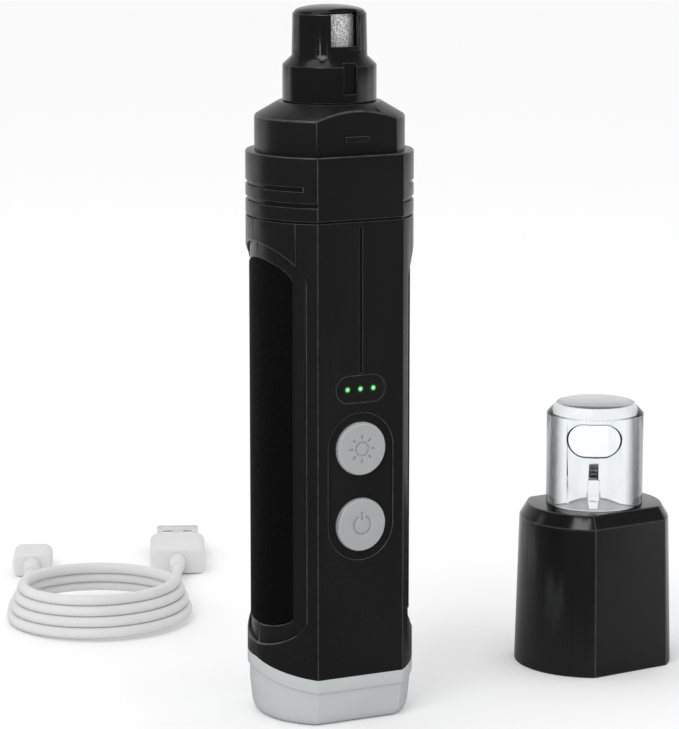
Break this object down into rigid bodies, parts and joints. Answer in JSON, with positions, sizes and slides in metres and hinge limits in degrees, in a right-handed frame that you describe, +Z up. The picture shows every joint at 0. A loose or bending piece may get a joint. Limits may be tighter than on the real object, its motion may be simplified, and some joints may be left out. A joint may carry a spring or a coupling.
{
  "type": "pet nail trimmer",
  "caption": "Handheld cordless pet nail grinder with side grips, panel buttons and a ported nose, plus its clear nail guard, storage cap and coiled charging cable.",
  "frame": {"origin": "centre of the underside of the base cap", "axes": "+Z up the handle to the nose, control panel facing -Y, +X to the right of the panel"},
  "size_m": [0.1432, 0.1905, 0.1708],
  "materials": {
    "body_black": "satin gloss black moulding",
    "nose_black": "gloss black moulding",
    "cap_black": "high gloss black moulding",
    "grip_rubber": "matt textured rubber",
    "light_grey": "fine matt light grey moulding",
    "window_dark": "dark translucent lens",
    "guide_clear": "clear light guide",
    "stem_nylon": "natural nylon",
    "switch_case": "black switch case",
    "board_green": "green solder mask",
    "board_white": "white solder mask",
    "led_green": "lit green light",
    "led_white": "clear dome",
    "chip_black": "moulded epoxy",
    "socket_steel": "tinned steel",
    "contact_black": "moulded contact carrier",
    "contact_white": "moulded contact carrier",
    "cell_sleeve": "shrink sleeve",
    "nickel": "nickel strip",
    "foam_grey": "closed cell foam",
    "motor_steel": "plated steel can",
    "bell_nylon": "moulded end bell",
    "terminal_brass": "stamped terminal",
    "magnet_ferrite": "ferrite",
    "winding_copper": "enamelled copper",
    "shaft_steel": "ground steel",
    "sleeve_rubber": "soft rubber",
    "screw_steel": "plated screw",
    "screw_black": "blackened screw",
    "collet_brass": "turned brass",
    "nut_steel": "nickel plated",
    "drum_core": "turned core",
    "diamond_grit": "sparkling bonded diamond grit",
    "seal_felt": "felt ring",
    "wire_red": "insulated wire",
    "wire_white": "insulated wire",
    "guard_clear": "clear polycarbonate, polished",
    "plug_steel": "nickel plated shell",
    "cable_white": "soft white moulding"
  },
  "bodies": {
    "handle": {"front_shell": "body_black", "rear_shell": "body_black", "head_housing": "body_black", "base_cap": "light_grey", "grip_left": "grip_rubber", "grip_right": "grip_rubber", "led_window": "window_dark", "light_guides": "guide_clear", "tact_switches": "switch_case", "main_board": "board_green", "board_leds": "led_green", "board_chips": "chip_black", "usb_socket": "socket_steel", "usb_socket_core": "contact_black", "battery_cell": "cell_sleeve", "battery_tabs": "nickel", "battery_foam": "foam_grey", "motor_can": "motor_steel", "motor_end_bell": "bell_nylon", "motor_terminals": "terminal_brass", "motor_magnets": "magnet_ferrite", "vibration_sleeve": "sleeve_rubber", "motor_screws": "screw_steel", "dust_seal": "seal_felt", "head_light_board": "board_white", "head_leds": "led_white", "shell_screws": "screw_black", "base_screws": "screw_steel", "board_screws": "screw_steel", "battery_wires": "wire_red", "motor_wires": "wire_red", "light_wires": "wire_white"},
    "rotor": {"motor_shaft": "shaft_steel", "motor_armature": "winding_copper", "collet": "collet_brass", "collet_nut": "nut_steel", "drum_shank": "shaft_steel", "drum_core": "drum_core", "grinding_drum": "diamond_grit"},
    "nose": {"nose_cover": "nose_black"},
    "light_key": {"light_button": "light_grey", "light_plunger": "stem_nylon"},
    "power_key": {"power_button": "light_grey", "power_plunger": "stem_nylon"},
    "cap": {"storage_cap": "cap_black"},
    "guard": {"clear_guard": "guard_clear"},
    "cable": {"cable_coil": "cable_white", "cable_lead_micro": "cable_white", "cable_lead_usb": "cable_white", "usb_a_shell": "plug_steel", "usb_a_core": "contact_white", "usb_a_body": "cable_white", "usb_a_relief": "cable_white", "micro_shell": "plug_steel", "micro_core": "contact_black", "micro_body": "cable_white", "micro_relief": "cable_white"}
  },
  "joints": [
    {"name": "drum_spin", "type": "hinge", "parent": "handle", "child": "rotor", "pos_m": [0, 0, 0.13], "axis": [0, 0, 1], "continuous": true},
    {"name": "nose_turn", "type": "hinge", "parent": "handle", "child": "nose", "pos_m": [0, 0, 0.1507], "axis": [0, 0, 1], "range_deg": [0, 35]},
    {"name": "light_press", "type": "slide", "parent": "handle", "child": "light_key", "axis": [0, 1, 0], "range_m": [0, 0.0006], "stiffness_N_per_m": 600, "springref_m": -0.0004},
    {"name": "power_press", "type": "slide", "parent": "handle", "child": "power_key", "axis": [0, 1, 0], "range_m": [0, 0.0006], "stiffness_N_per_m": 600, "springref_m": -0.0004},
    {"name": "cap_lift", "type": "slide", "parent": "handle", "child": "cap", "axis": [0, 0, 1], "range_m": [0, 0.06]},
    {"name": "guard_lift", "type": "slide", "parent": "cap", "child": "guard", "axis": [0, 0, 1], "range_m": [0, 0.04]},
    {"name": "cable_lift", "type": "slide", "parent": "handle", "child": "cable", "axis": [0, 0, 1], "range_m": [0, 0.03]}
  ]
}
